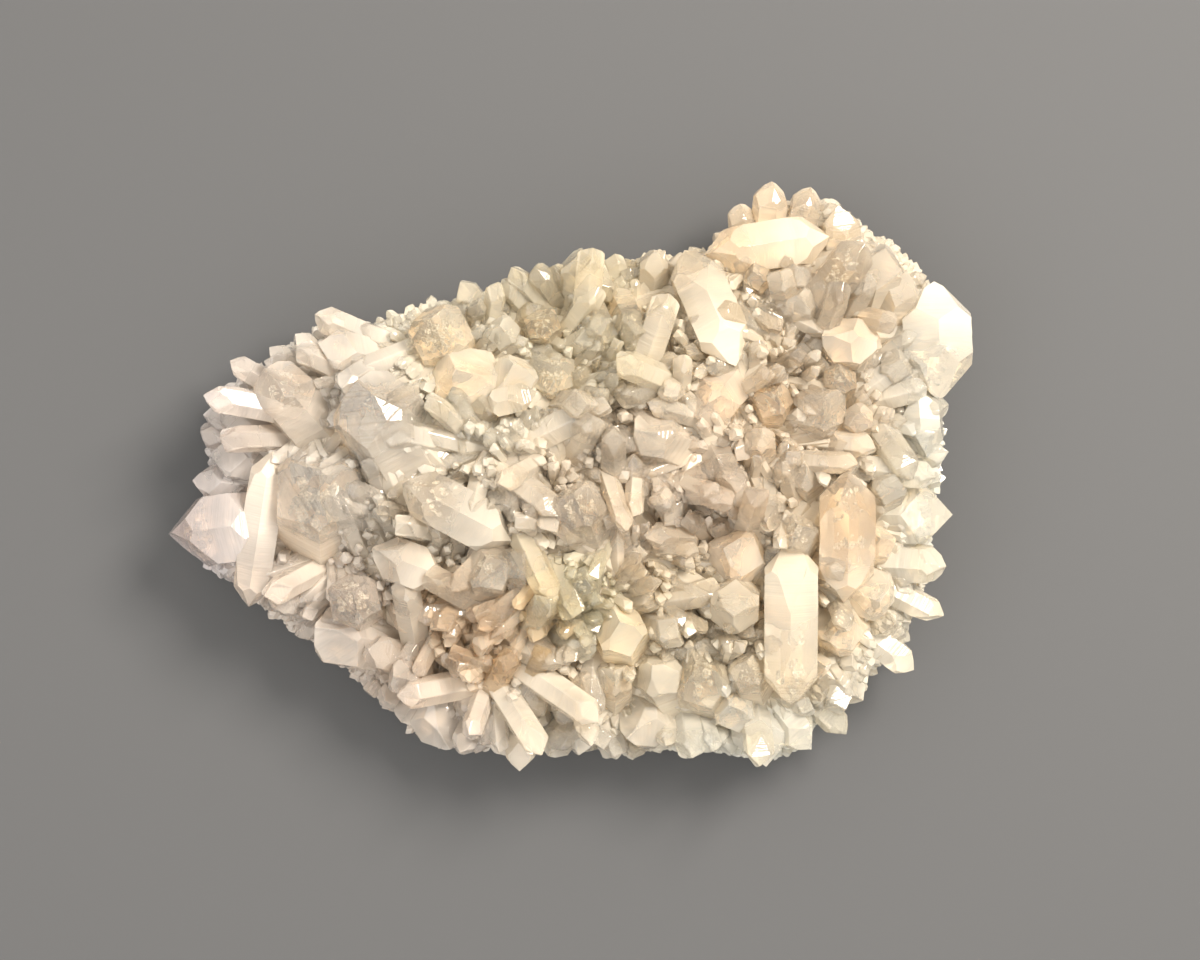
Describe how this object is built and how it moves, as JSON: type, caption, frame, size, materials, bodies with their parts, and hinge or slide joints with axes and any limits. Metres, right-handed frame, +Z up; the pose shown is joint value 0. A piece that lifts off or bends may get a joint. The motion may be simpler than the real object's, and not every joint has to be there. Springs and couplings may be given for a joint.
{
  "type": "quartz cluster",
  "caption": "Natural cluster of clear and milky quartz crystals grown on a flat bed of quartz rock, resting on its broken underside.",
  "frame": {"origin": "centre of the bounding box in plan, at the level of the flat face it rests on", "axes": "+X along the longest extent towards the blunt end, +Y across the bed, +Z up out of the crystal side"},
  "size_m": [0.18, 0.1322, 0.0481],
  "materials": {
    "quartz": "vitreous crystal faces on a milky, rough-broken base"
  },
  "bodies": {
    "root": {"quartz_cluster": "quartz"}
  },
  "joints": []
}
